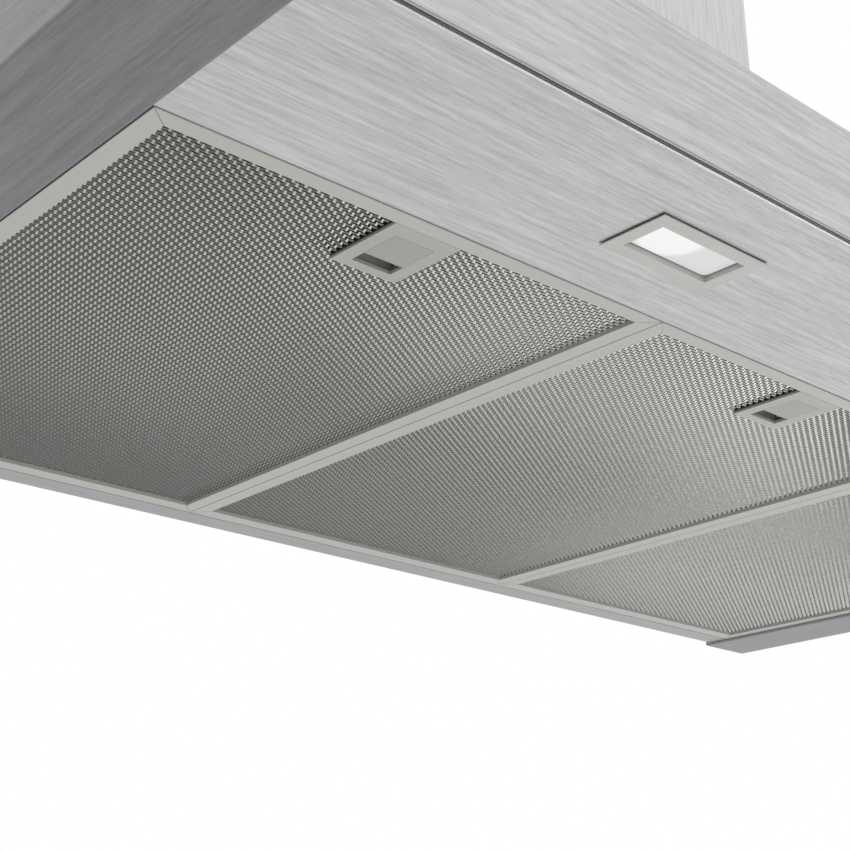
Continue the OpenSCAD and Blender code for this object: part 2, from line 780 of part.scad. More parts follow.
// Electronics box on the suction box's left side, with a stepped lid
module electronics_box() color("#d8d8d4") from_underside() {
    lid_t = 5;
    translate([electronics_x, blower_y - electronics_d / 2, electronics_h]) {
        cube([lid_t, electronics_d, electronics_l]);
        translate([lid_t, 1, 1]) cube([electronics_t - lid_t, electronics_d - 2, electronics_l - 2]);
    }
}

// Screwed cable gland on the electronics box's top
module cable_gland() color(black_plastic) from_underside()
    translate([electronics_x + electronics_t / 2, blower_y, electronics_h + electronics_l]) difference() {
        union() {
            cylinder(r = gland_d / 2 + 2, h = 6, $fn = 6);
            translate([0, 0, 6]) cylinder(r = gland_d / 2, h = 8);
            translate([0, 0, 14]) cylinder(r1 = gland_d / 2, r2 = gland_bore_d / 2 + 1.5, h = 4);
        }
        translate([0, 0, 1]) cylinder(r = gland_bore_d / 2, h = 20);
    }

// Duct collar with the flaps' ledge and the two pin bosses
module duct_collar() color(black_plastic) from_underside() translate([0, blower_y, box_top_h]) {
    base_w = duct_d + 2 * collar_rim;
    boss_l = 7;
    ledge_h = pin_h - box_top_h - flap_t / 2 - 0.3;
    difference() {
        union() {
            centred_box(base_w, base_w, collar_base_t);
            cylinder(r = duct_d / 2, h = collar_base_t + collar_l);
        }
        translate([0, 0, -1]) cylinder(r = duct_bore_r - 4, h = collar_l + 10);
        translate([0, 0, ledge_h]) difference() {
            cylinder(r = duct_bore_r, h = collar_l + 10);
            for (s = [-1, 1]) translate([0, s * duct_bore_r, pin_h - box_top_h - ledge_h]) rotate([90, 0, 0])
                cylinder(r = pin_d / 2 + 2.5, h = 2 * boss_l, center = true);
        }
        rotate([90, 0, 0]) translate([0, pin_h - box_top_h, 0])
            cylinder(r = pin_d / 2 + pin_fit, h = 2 * (duct_bore_r - 2), center = true);
    }
}

module flap_pin() color("#c9ccce") from_underside() translate([0, blower_y, pin_h]) rotate([90, 0, 0])
    cylinder(r = pin_d / 2, h = 2 * (duct_bore_r - 2.5), center = true);

// One flap: a half disc beside the pin, and its knuckles at the given places
module flap(places) from_underside() translate([0, blower_y, pin_h]) {
    knuckle_l = 11.4;
    rib_t = 1.6;
    plate_x = knuckle_d / 2 + 2.5;
    rim_r = duct_bore_r - flap_clear;
    difference() {
        union() {
            intersection() {
                translate([0, 0, -flap_t / 2]) cylinder(r = rim_r, h = flap_t);
                translate([plate_x, -rim_r, -flap_t]) cube([rim_r, 2 * rim_r, 2 * flap_t]);
            }
            for (y = places) {
                translate([0, y, 0]) rotate([90, 0, 0])
                    cylinder(r = knuckle_d / 2, h = knuckle_l, center = true);
                translate([0, y - knuckle_l / 2, -flap_t / 2]) cube([plate_x + 1, knuckle_l, flap_t]);
            }
            for (k = [1 : 3]) translate([plate_x + 5, flap_places[k] - rib_t / 2, 0])
                cube([rim_r * 0.65, rib_t, flap_t / 2 + rib_t]);
        }
        rotate([90, 0, 0]) cylinder(r = pin_d / 2 + pin_fit, h = 2 * rim_r, center = true);
    }
}

flap_places = [-48, -24, 0, 24, 48];
module flap_right() color("#3a3b3d") flap([flap_places[0], flap_places[2], flap_places[4]]);
module flap_left() color("#3a3b3d") from_underside_mirror() flap([flap_places[1], flap_places[3]]);

module from_underside_mirror() {
    mirror([1, 0, 0]) children();
}

// Plan of a flue: front, two sides and two rear lips
module flue_plan(half, depth, rear) {
    t = sheet_t;
    folded_sheet([
        [-(half - flue_lip), -rear - t / 2],
        [-(half - t / 2), -rear - t / 2],
        [-(half - t / 2), -(depth - t / 2)],
        [half - t / 2, -(depth - t / 2)],
        [half - t / 2, -rear - t / 2],
        [half - flue_lip, -rear - t / 2]], t, bend_r);
}

module lower_flue() color(steel) from_underside()
    translate([0, 0, canopy_h]) linear_extrude(height = lower_flue_l) flue_plan(flue_w / 2, flue_d, 0);

// Upper flue with the air slots near its top and two screw holes for the bracket
module upper_flue() color(steel) from_underside() difference() {
    translate([0, 0, upper_low_h]) linear_extrude(height = upper_flue_l)
        flue_plan(upper_half, upper_d, flue_inset);
    for (s = [-1, 1], i = [0 : slot_count - 1])
        translate([s * upper_half, -upper_d / 2, slots_top_h - i * slot_pitch])
            centred_box(6 * sheet_t, slot_l, slot_w);
    at_flue_screws() cylinder(r = flue_screw_r + screw_clear, h = 8, center = true);
}

strap_drop = 2;
strap_h = closed_h - strap_drop - bracket_h;
leg_x = upper_half - sheet_t - 0.3;
leg_y = -flue_inset - sheet_t - seam - strap_t;

// The places of the flue screws, each turned to point out of the flue
module at_flue_screws() {
    for (s = [-1, 1]) translate([s * upper_half, leg_y - flue_screw_back, closed_h - flue_screw_drop])
        rotate([0, s * 90, 0]) children();
}

// Ceiling bracket: a strap on the wall, and legs that the upper flue is screwed to
module ceiling_bracket() color(zinc) from_underside() {
    strap_half = upper_half - flue_lip - 4;
    inner_x = strap_half - strap_t;
    difference() {
        translate([0, 0, strap_h]) linear_extrude(height = bracket_h) {
            translate([-strap_half, -strap_t]) square([2 * strap_half, strap_t]);
            for (s = [0, 1]) mirror([s, 0]) {
                translate([inner_x, leg_y]) square([strap_t, -leg_y]);
                translate([inner_x, leg_y]) square([leg_x - inner_x, strap_t]);
                translate([leg_x - strap_t, leg_y - leg_l]) square([strap_t, leg_l + strap_t]);
            }
        }
        for (s = [-1, 1]) translate([s * strap_span / 2, 1, strap_h + bracket_h / 2]) rotate([90, 0, 0])
            cylinder(r = strap_hole_d / 2, h = strap_t + 2);
        at_flue_screws() cylinder(r = flue_screw_r + screw_clear, h = 12, center = true);
    }
}

// Two flat-head screws through the upper flue into the ceiling bracket
module flue_screws() color(zinc) from_underside() at_flue_screws() {
    cylinder(r = 2.8, h = 1.2);
    translate([0, 0, -sheet_t - strap_t - 1]) cylinder(r = flue_screw_r, h = sheet_t + strap_t + 1.5);
}

insert_y = -hood_d + insert_face;
insert_rear_y = insert_y + insert_t;
collar_t = 1.4;
switch_front_y = insert_rear_y + 0.3 + collar_t + button_travel + 0.3;
control_y = switch_front_y + switch_l;

module at_button(k) {
    translate([(k - 3) * button_pitch, 0, button_h]) children();
}

// Moulded insert behind the panel's window, with five holes and two board posts
module button_insert() color(black_plastic) from_underside() {
    flange_y = -hood_d + sheet_t;
    flange_t = 1.5;
    flange_w = 2;
    insert_low = button_h - insert_h / 2;
    difference() {
        union() {
            translate([0, insert_y + insert_t / 2, insert_low]) centred_box(insert_w, insert_t, insert_h);
            translate([0, flange_y + flange_t / 2, insert_low - flange_w])
                centred_box(insert_w + 2 * flange_w, flange_t, insert_h + 2 * flange_w);
            for (s = [-1, 1])
                translate([s * (insert_w / 2 - 3), (insert_rear_y + control_y) / 2, button_h - 3])
                    centred_box(5, control_y - insert_rear_y, 6);
        }
        for (k = [1 : 5]) at_button(k) translate([0, insert_y - 1, 0]) rotate([-90, 0, 0])
            cylinder(r = button_d / 2 + button_fit, h = insert_t + 2);
    }
}

// Push-button with a shallow dished face and a collar behind the insert
module button(k) color("#d0d1d2") from_underside() at_button(k) {
    difference() {
        union() {
            translate([0, -hood_d, 0]) rotate([-90, 0, 0])
                cylinder(r = button_d / 2, h = insert_rear_y + hood_d + 1);
            translate([0, insert_rear_y + 0.3, 0]) rotate([-90, 0, 0])
                cylinder(r = button_d / 2 + 1, h = collar_t);
        }
        translate([0, -hood_d - dish_r + dish_depth, 0]) sphere(r = dish_r, $fn = 96);
    }
}

module button_1() button(1);
module button_2() button(2);
module button_3() button(3);
module button_4() button(4);
module button_5() button(5);

// Control board with a switch behind each button
module control_board() color("#2f6b46") from_underside() {
    translate([0, control_y + board_t / 2, button_h - insert_h / 2 - 1])
        centred_box(insert_w + 4, board_t, insert_h + 2);
    for (k = [1 : 5]) at_button(k) translate([0, (switch_front_y + control_y) / 2, -switch_w / 2])
        centred_box(switch_w, switch_l, switch_w);
}

module rounded_plate(w, d, r, h) {
    centred_box(w - 2 * r, d, h);
    centred_box(w, d - 2 * r, h);
    for (sx = [-1, 1], sy = [-1, 1])
        translate([sx * (w / 2 - r), sy * (d / 2 - r), 0]) cylinder(r = r, h = h);
}

// Lamp bezel: a thin overhanging rim, a body through the strip, a ledge for the lens and two snap barbs
module lamp_bezel(s) color("#b6b7b3") from_underside() translate([s * lamp_x, lamp_y, 0]) {
    rib_h = lamp_board_h - 1.5;
    difference() {
        union() {
            translate([0, 0, lamp_face_h]) centred_box(lamp_w, lamp_d, lamp_rim_t);
            translate([0, 0, lamp_face_h])
                centred_box(lamp_w - 2 * lamp_overhang, lamp_d - 2 * lamp_overhang, lamp_proud);
            translate([0, 0, face_h]) centred_box(lamp_body_w, lamp_body_d, lamp_body_h);
            for (e = [-1, 1]) mirror([e > 0 ? 0 : 1, 0, 0])
                along_y(-3, 3) polygon([
                    [lamp_body_w / 2 - 0.1, face_h + sheet_t + 0.2],
                    [lamp_body_w / 2 + 1.4, face_h + sheet_t + 0.2],
                    [lamp_body_w / 2 - 0.1, face_h + sheet_t + 4]]);
        }
        translate([0, 0, lamp_face_h - 1])
            centred_box(lamp_window_w, lamp_window_d, lens_recess + lens_face_drop + 1);
        translate([0, 0, lens_h]) rounded_plate(
            lens_face_w + 2 * lens_clear, lens_face_d + 2 * lens_clear, lens_corner_r + lens_clear, lens_t);
        translate([0, 0, lens_flange_h]) difference() {
            centred_box(pocket_lens_w, pocket_lens_d, lamp_body_h);
            for (e = [-1, 1]) translate([e * (pocket_lens_w / 2 - 0.7), 0, lens_flange_t + 0.2])
                centred_box(1.6, pocket_lens_d + 1, rib_h - lens_h - lens_t + 1.3);
        }
    }
}

module lamp_bezel_left() lamp_bezel(-1);
module lamp_bezel_right() lamp_bezel(1);

// Frosted lens: a flange that lies on the bezel's ledge, and a rounded face that hangs through it
module lamp_lens(s) color("#f4f4f2") from_underside() translate([s * lamp_x, lamp_y, lens_h]) {
    rounded_plate(lens_face_w, lens_face_d, lens_corner_r, lens_t - lens_flange_t / 2);
    translate([0, 0, lens_t - lens_flange_t]) centred_box(lens_w, lens_d, lens_flange_t);
}

module lamp_lens_left() lamp_lens(-1);
module lamp_lens_right() lamp_lens(1);

// Circuit board with its round light-emitting disc facing down
module lamp_board(s) color("#e9e9e4") from_underside() translate([s * lamp_x, lamp_y, lamp_board_h]) {
    centred_box(lens_w, lens_d, board_t);
    translate([0, 0, -1.2]) cylinder(r = led_r, h = 1.2);
}

module lamp_board_left() lamp_board(-1);
module lamp_board_right() lamp_board(1);

// Lamp driver on the front strip: a finned box
module lamp_driver() color(black_plastic) from_underside()
    translate([driver_x, lamp_y, face_h + sheet_t + seam]) {
        fin_end = driver_l / 2 - 8;
        fin_h = 4;
        centred_box(driver_l, driver_d, driver_h - fin_h);
        for (x = [-fin_end : 12 : fin_end]) translate([x, 0, 0]) centred_box(fin_h, driver_d - 6, driver_h);
    }

module at_filter(i) {
    from_underside() translate([i * filter_pitch, filter_front_y, 0]) children();
}

// A seam cut into the lower face from a frame's outer corner to its inner corner
module mitre_seam(outer, inner) {
    run = inner - outer;
    translate([outer.x, outer.y, face_h - 1]) rotate(atan2(run.y, run.x)) translate([-1, -mitre_w / 2, 0])
        cube([norm(run) + 1.5, mitre_w, mitre_t + 1]);
}

// Filter frame: a mitred channel ring with an inner lip, two claws and the tongue's slot
module filter_frame(i) color(filter_alu) at_filter(i) {
    difference() {
        union() {
            difference() {
                translate([-filter_w / 2, 0, face_h]) cube([filter_w, filter_d, filter_t]);
                translate([-filter_w / 2 + frame_t, frame_t, face_h + frame_t])
                    cube([filter_w - 2 * frame_t, filter_d - 2 * frame_t, filter_t - 2 * frame_t]);
            }
            translate([-face_w / 2 - frame_t, frame_front_w - frame_t, face_h])
                cube([face_w + 2 * frame_t, face_d + 2 * frame_t, mesh_recess]);
        }
        translate([-face_w / 2, frame_front_w, face_h - 1]) cube([face_w, face_d, filter_t + 2]);
        translate([0, 0, tongue_h - tongue_clear])
            centred_box(tongue_w + 2 * tongue_clear, 3 * frame_t, tongue_t + 2 * tongue_clear);
        for (s = [-1, 1]) {
            mitre_seam([s * filter_w / 2, 0], [s * face_w / 2, frame_front_w]);
            mitre_seam([s * filter_w / 2, filter_d], [s * face_w / 2, filter_d - frame_rear_w]);
        }
    }
    claw_low = 0.3;
    for (s = [-1, 1]) translate([s * claw_x, 0, 0]) along_x(claw_w) intersection() {
        translate([roll_y - filter_front_y, roll_h]) difference() {
            circle(r = rail_roll_r + claw_fit + claw_t);
            circle(r = rail_roll_r + claw_fit);
        }
        translate([filter_d - frame_t / 2, roll_h + claw_low]) square([10, 10]);
    }
}

// Expanded-metal mesh, open diamonds between slanting strands
module filter_mesh(i) color(mesh_alu) at_filter(i) translate([0, 0, mesh_h]) {
    edge = frame_t + mesh_clear;
    a = mesh_lwd / 2;
    b = mesh_swd / 2;
    shrink = 1 - strand_w / 2 * norm([a, b]) / (a * b);
    margin = strand_w / 2;
    columns = floor(face_w / mesh_lwd) + 1;
    rows = floor(2 * face_d / mesh_swd) + 1;
    mid_y = frame_front_w + face_d / 2;
    linear_extrude(height = mesh_t) difference() {
        translate([-filter_w / 2 + edge, edge]) square([filter_w - 2 * edge, filter_d - 2 * edge]);
        translate([-latch_w / 2 - mesh_clear, latch_front - mesh_clear])
            square([latch_w + 2 * mesh_clear, latch_l + 2 * mesh_clear]);
        for (j = [-rows : rows], k = [-columns : columns]) {
            x = (k + (j % 2 == 0 ? 0 : 0.5)) * mesh_lwd;
            y = mid_y + j * b;
            fits_x = abs(x) + a * shrink <= face_w / 2 - margin;
            fits_y = abs(y - mid_y) + b * shrink <= face_d / 2 - margin;
            beside_latch = abs(x) - a * shrink > latch_w / 2 + margin;
            behind_latch = y - b * shrink > latch_rear + margin;
            if (fits_x && fits_y && (beside_latch || behind_latch))
                translate([x, y]) polygon(shrink * [[-a, 0], [0, -b], [a, 0], [0, b]]);
        }
    }
}

// Pack of fine mesh layers that lies on the mesh
module filter_pack(i) color("#7f817f") at_filter(i) translate([0, 0, pack_h]) {
    edge = frame_t + mesh_clear;
    linear_extrude(height = core_t) difference() {
        translate([-filter_w / 2 + edge, edge]) square([filter_w - 2 * edge, filter_d - 2 * edge]);
        translate([-latch_w / 2 - mesh_clear, latch_front - mesh_clear])
            square([latch_w + 2 * mesh_clear, latch_l + 2 * mesh_clear]);
        translate([-tongue_w / 2 - 2 * mesh_clear, 0]) square([tongue_w + 4 * mesh_clear, latch_front]);
    }
}

// Latch housing: a face with a window, a slide way, a spring pocket and a slot
module latch_housing(i) color(latch_grey) at_filter(i) translate([0, 0, face_h]) difference() {
    translate([-latch_w / 2, latch_front, 0]) cube([latch_w, latch_l, latch_h]);
    translate([-knob_w / 2 - knob_clear, knob_front - knob_clear, -1])
        cube([knob_w + 2 * knob_clear, recess_rear - knob_front + 2 * knob_clear, latch_wall + 2]);
    translate([-carriage_w / 2 - knob_clear, latch_front + latch_wall, latch_wall])
        cube([carriage_w + 2 * knob_clear, latch_l - 2 * latch_wall - 1.8, latch_h - 2 * latch_wall]);
    translate([carriage_w / 2, ear_rear - 6, latch_wall + 0.6])
        cube([knob_clear + pocket_w, spring_rear - ear_rear + 6.3, latch_h - 2 * latch_wall - 0.6]);
    translate([-tongue_w / 2 - tongue_clear, latch_front - 1, tongue_h - face_h - tongue_clear])
        cube([tongue_w + 2 * tongue_clear, latch_wall + 2, tongue_t + 2 * tongue_clear]);
}

// Latch knob: the flush face, the carriage behind it, the tongue and the spring's ear
module latch_knob(i) color(latch_grey) at_filter(i) {
    carriage_front = latch_front + latch_wall + knob_clear;
    carriage_h = face_h + latch_wall + knob_clear;
    carriage_t = latch_h - 2 * latch_wall - 2 * knob_clear;
    difference() {
        union() {
            translate([-knob_w / 2, knob_front, face_h]) cube([knob_w, knob_l, latch_wall + 1]);
            translate([-carriage_w / 2, carriage_front, carriage_h])
                cube([carriage_w, knob_rear - carriage_front, carriage_t]);
            translate([-tongue_w / 2, -tongue_reach, tongue_h])
                cube([tongue_w, carriage_front + tongue_reach + 1, tongue_t]);
            translate([carriage_w / 2 - 1, ear_rear - 4, carriage_h + 0.8])
                cube([pocket_w + 0.9, 4, carriage_t - 0.8]);
        }
        // Slanting nose, so that the tongue snaps in behind the strip's lip
        translate([-tongue_w, -tongue_reach, tongue_h + tongue_t]) rotate([-30, 0, 0])
            translate([0, -6, 0]) cube([2 * tongue_w, 6 + 0.6, 6]);
    }
}

// Centre line and tube of a coil spring that lies along Y
function coil_point(t, y0, y1, r) = let (a = 360 * spring_turns * t)
    [r * cos(a), y0 + (y1 - y0) * t, r * sin(a)];

module coil(y0, y1, r, wire) {
    sides = 6;
    rings = spring_turns * 10;
    points = [
        for (i = [0 : rings]) let (
            a = 360 * spring_turns * i / rings,
            c = coil_point(i / rings, y0 + wire, y1 - wire, r))
            for (k = [0 : sides - 1]) let (b = 360 * k / sides)
                c + wire * (cos(b) * [cos(a), 0, sin(a)] + sin(b) * [0, 1, 0])
    ];
    faces = concat(
        [[for (k = [0 : sides - 1]) k]],
        [for (i = [0 : rings - 1], k = [0 : sides - 1]) let (n = (k + 1) % sides)
            [i * sides + k, (i + 1) * sides + k, (i + 1) * sides + n]],
        [for (i = [0 : rings - 1], k = [0 : sides - 1]) let (n = (k + 1) % sides)
            [i * sides + k, (i + 1) * sides + n, i * sides + n]],
        [[for (k = [sides - 1 : -1 : 0]) rings * sides + k]]);
    polyhedron(points = points, faces = faces);
}

module latch_spring(i) color("#c9ccce") at_filter(i) translate([spring_x, 0, face_h + latch_h / 2 + 0.3])
    coil(spring_front, spring_rear, spring_r - spring_wire_r, spring_wire_r);

module filter_frame_left() filter_frame(-1);
module filter_frame_centre() filter_frame(0);
module filter_frame_right() filter_frame(1);
module filter_mesh_left() filter_mesh(-1);
module filter_mesh_centre() filter_mesh(0);
module filter_mesh_right() filter_mesh(1);
module filter_pack_left() filter_pack(-1);
module filter_pack_centre() filter_pack(0);
module filter_pack_right() filter_pack(1);
module latch_housing_left() latch_housing(-1);
module latch_housing_centre() latch_housing(0);
module latch_housing_right() latch_housing(1);
module latch_knob_left() latch_knob(-1);
module latch_knob_centre() latch_knob(0);
module latch_knob_right() latch_knob(1);
module latch_spring_left() latch_spring(-1);
module latch_spring_centre() latch_spring(0);
module latch_spring_right() latch_spring(1);

canopy_top();
side_panel_left();
side_panel_right();
back_rail();
front_strip();
front_panel();
corner_rivets();
wall_plate();
suction_box();
box_screws();
scroll_left();
scroll_right();
impeller();
motor();
motor_shaft();
motor_bracket();
electronics_box();
cable_gland();
duct_collar();
flap_pin();
flap_left();
flap_right();
lower_flue();
upper_flue();
ceiling_bracket();
flue_screws();
button_insert();
button_1();
button_2();
button_3();
button_4();
button_5();
control_board();
lamp_bezel_left();
lamp_bezel_right();
lamp_lens_left();
lamp_lens_right();
lamp_board_left();
lamp_board_right();
lamp_driver();
filter_frame_left();
filter_frame_centre();
filter_frame_right();
filter_mesh_left();
filter_mesh_centre();
filter_mesh_right();
filter_pack_left();
filter_pack_centre();
filter_pack_right();
latch_housing_left();
latch_housing_centre();
latch_housing_right();
latch_knob_left();
latch_knob_centre();
latch_knob_right();
latch_spring_left();
latch_spring_centre();
latch_spring_right();
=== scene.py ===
import math
import bpy
from mathutils import Euler, Matrix, Vector


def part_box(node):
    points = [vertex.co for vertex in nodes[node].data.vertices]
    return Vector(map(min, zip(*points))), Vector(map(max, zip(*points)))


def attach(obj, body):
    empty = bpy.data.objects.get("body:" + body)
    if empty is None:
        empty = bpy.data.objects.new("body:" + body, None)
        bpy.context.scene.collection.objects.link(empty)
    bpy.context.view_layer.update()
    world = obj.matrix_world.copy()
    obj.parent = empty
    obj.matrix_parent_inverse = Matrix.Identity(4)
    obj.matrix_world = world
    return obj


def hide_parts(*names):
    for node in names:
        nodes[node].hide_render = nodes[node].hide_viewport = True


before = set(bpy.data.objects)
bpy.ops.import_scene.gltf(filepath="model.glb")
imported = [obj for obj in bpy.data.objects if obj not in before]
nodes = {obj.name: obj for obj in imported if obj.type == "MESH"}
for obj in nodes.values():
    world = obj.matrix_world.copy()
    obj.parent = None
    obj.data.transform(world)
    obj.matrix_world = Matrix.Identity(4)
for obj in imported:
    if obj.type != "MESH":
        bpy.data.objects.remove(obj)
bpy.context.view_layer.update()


# Canopy: a folded top, two side panels, the back rail, the front strip and the front
# panel, all of 1 mm stainless steel. The sheet is belt-ground, which leaves fine
# parallel scratches. The folded pieces are spot-welded, and riveted at the corners.

# Real scratches are about 0.1 mm wide. They are drawn wider, so that they show.
SCRATCH_WIDTH = 0.00038
SCRATCH_LENGTH = 0.009
SCRATCH_RELIEF = (0.12, 0.0002)
BAND_WIDTH = 0.0022
BAND_LENGTH = 6 * SCRATCH_LENGTH
STEEL_ROUGHNESS = 0.30

# Nearly all of a noise lies in the first span, and of the sum of two in the second.
NOISE_SPAN = (0.25, 0.75)
SUM_SPAN = (0.7, 1.3)

# A Mix node's colour sockets are reached by number: its other sockets have the same names.
MIX_UNDER = 6
MIX_OVER = 7
MIX_RESULT = 2


def linear(code):
    """A '#rrggbb' sRGB colour as linear red, green, blue and alpha."""
    channels = [int(code[i:i + 2], 16) / 255 for i in (1, 3, 5)]
    return [c / 12.92 if c <= 0.04045 else ((c + 0.055) / 1.055) ** 2.4 for c in channels] + [1.0]


def add_node(tree, kind, inputs=None, **settings):
    """Adds a node, sets its properties, and sets or links its inputs."""
    node = tree.nodes.new(kind)
    for name, value in settings.items():
        setattr(node, name, value)
    for name, value in (inputs or {}).items():
        if isinstance(value, bpy.types.NodeSocket):
            tree.links.new(value, node.inputs[name])
        else:
            node.inputs[name].default_value = value
    return node


def new_material(name, roughness, metallic=0.0):
    """A material with only its shader, which the finish's own nodes then feed."""
    material = bpy.data.materials.new(name)
    material.use_nodes = True
    tree = material.node_tree
    inputs = tree.nodes["Principled BSDF"].inputs
    inputs["Roughness"].default_value = roughness
    inputs["Metallic"].default_value = metallic
    return material, tree


def stretched_noise(tree, size, detail=2.0):
    """Noise whose features measure size (x, y, z) metres on the piece."""
    place = add_node(tree, "ShaderNodeTexCoord").outputs["Object"]
    spread = add_node(tree, "ShaderNodeMapping", {"Vector": place, "Scale": [1 / s for s in size]})
    noise = add_node(tree, "ShaderNodeTexNoise",
                     {"Vector": spread.outputs["Vector"], "Scale": 1.0, "Detail": detail})
    return noise.outputs["Fac"]


def lay_finish(tree, shades, colours, grain, roughness, relief=None,
               shades_span=NOISE_SPAN, grain_span=NOISE_SPAN):
    """Feeds the shader with two colours by the pattern of shades, and two roughnesses by the grain.

    A span is a pattern's lowest and highest value. Relief is a bump's strength and depth.
    """
    inputs = tree.nodes["Principled BSDF"].inputs
    share = add_node(tree, "ShaderNodeMapRange", {
        "Value": shades, "From Min": shades_span[0], "From Max": shades_span[1]})
    coat = add_node(tree, "ShaderNodeMix", {
        "Factor": share.outputs["Result"], MIX_UNDER: linear(colours[0]),
        MIX_OVER: linear(colours[1])}, data_type="RGBA")
    tree.links.new(coat.outputs[MIX_RESULT], inputs["Base Color"])
    dulled = add_node(tree, "ShaderNodeMapRange", {
        "Value": grain, "From Min": grain_span[0], "From Max": grain_span[1],
        "To Min": roughness[0], "To Max": roughness[1]})
    tree.links.new(dulled.outputs["Result"], inputs["Roughness"])
    if relief:
        bump = add_node(tree, "ShaderNodeBump", {
            "Height": grain, "Strength": relief[0], "Distance": relief[1]})
        tree.links.new(bump.outputs["Normal"], inputs["Normal"])


def paint_over(tree, share, code):
    """Lays one more colour over the finish, by its share from 0 to 1."""
    coat = tree.nodes["Principled BSDF"].inputs["Base Color"]
    over = add_node(tree, "ShaderNodeMix", {
        "Factor": share, MIX_UNDER: coat.links[0].from_socket, MIX_OVER: linear(code)},
        data_type="RGBA")
    tree.links.new(over.outputs[MIX_RESULT], coat)


def turned_to(tree, axis, start, end, either_way=False):
    """0 where the outward normal's part along an axis is start, rising to 1 where it is end."""
    normal = add_node(tree, "ShaderNodeTexCoord").outputs["Normal"]
    part = add_node(tree, "ShaderNodeSeparateXYZ", {"Vector": normal}).outputs[axis]
    if either_way:
        part = add_node(tree, "ShaderNodeMath", {0: part}, operation="ABSOLUTE").outputs["Value"]
    turned = add_node(tree, "ShaderNodeMapRange", {"Value": part, "From Min": start, "From Max": end})
    return turned.outputs["Result"]


def front_fold(tree):
    """1 on a fold at the front, whose normal lies between -Y and up or down, and 0 elsewhere."""
    forwards = turned_to(tree, "Y", -0.2, -0.4)
    upright = turned_to(tree, "Z", 0.2, 0.4, either_way=True)
    fold = add_node(tree, "ShaderNodeMath", {0: forwards, 1: upright}, operation="MULTIPLY")
    return fold.outputs["Value"]


def brushed_steel(name, dark, light, along, fold="#7b7c7c", fold_roughness=STEEL_ROUGHNESS):
    """Belt-ground stainless steel, its scratches along one axis: 0 is X, 1 is Y and 2 is Z.

    It shows fine lines in soft bands, and mirrors the room as a blur. Its front folds are rougher, and
    painted darker as painted shade that dims their highlight.
    """
    material, tree = new_material(name, STEEL_ROUGHNESS, metallic=1.0)
    fine = [SCRATCH_WIDTH] * 3
    fine[along] = SCRATCH_LENGTH
    wide = [BAND_WIDTH] * 3
    wide[along] = BAND_LENGTH
    scratches = stretched_noise(tree, fine, detail=4.0)
    bands = stretched_noise(tree, wide)
    both = add_node(tree, "ShaderNodeMath", {0: scratches, 1: bands}, operation="ADD").outputs["Value"]
    lay_finish(tree, both, (dark, light), scratches, (STEEL_ROUGHNESS - 0.05, STEEL_ROUGHNESS + 0.07),
               relief=SCRATCH_RELIEF, shades_span=SUM_SPAN)
    # The front folds get the fold colour: painted shade that dims their highlight.
    bent = front_fold(tree)
    paint_over(tree, bent, fold)
    gloss = tree.nodes["Principled BSDF"].inputs["Roughness"]
    dulled = add_node(tree, "ShaderNodeMapRange", {
        "Value": bent, "To Min": gloss.links[0].from_socket, "To Max": fold_roughness})
    tree.links.new(dulled.outputs["Result"], gloss)
    return material


def paint(material, *names):
    """Gives CAD nodes their finish."""
    for name in names:
        mesh = nodes[name].data
        mesh.materials.clear()
        mesh.materials.append(material)


# Each piece is ground along its length. The side panels and the back rail are painted darker than the strip,
# as painted shade for their dimmer reflection of the room.
steel_along_x = brushed_steel("brushed_stainless_along_width", "#b5b6b6", "#d7d8d8", along=0)
shaded_steel_along_y = brushed_steel("brushed_stainless_along_depth", "#767779", "#8c8d8f", along=1)
shaded_rail_steel = brushed_steel("brushed_stainless_rear_rail", "#98999a", "#acadae", along=0)
paint(steel_along_x, "canopy_top", "front_strip")
paint(shaded_steel_along_y, "side_panel_left", "side_panel_right")
paint(shaded_rail_steel, "back_rail")

# The front panel's hem faces down beside the strip's edge, and is painted dark: painted shade that draws the
# shadowed line between them. Its front fold is painted a darker grey, painted shade that dims its highlight.
face_steel = brushed_steel("brushed_stainless_front_face", "#b0b1b1", "#d0d1d1", along=0,
                           fold="#9c9d9d", fold_roughness=0.6)
paint_over(face_steel.node_tree, turned_to(face_steel.node_tree, "Z", -0.85, -0.97), "#3a3b3b")
paint(face_steel, "front_panel")


# Rivets and screws: zinc-plated steel. The rivets are set flush in the side panels'
# corners, and the screws hold the suction box and the flue.
METAL_RELIEF = (0.08, 0.0002)


def mottled_metal(name, dark, light, grain, roughness):
    """Plated, cast or ground metal: a soft mottle of the grain's size in its colour and gloss."""
    material, tree = new_material(name, roughness, metallic=1.0)
    mottle = stretched_noise(tree, [grain] * 3, detail=3.0)
    lay_finish(tree, mottle, (dark, light), mottle, (roughness - 0.05, roughness + 0.08),
               relief=METAL_RELIEF)
    return material


# Zinc has a faint blue cast beside the stainless sheet.
zinc_plate = mottled_metal("zinc_plated_steel", "#a9adb3", "#c8ccd1", grain=0.0008, roughness=0.34)
paint(zinc_plate, "corner_rivets", "box_screws", "flue_screws")


# Wall plate, suction box, motor bracket and ceiling bracket: galvanised sheet,
# punched and folded. The hot-dip zinc on it freezes in flat crystals.
SPANGLE = 0.011
SPECKLE = 0.002
FLAKE_SPAN = (0.0, 1.0)
SPECKLED_SPAN = (0.4, 1.6)


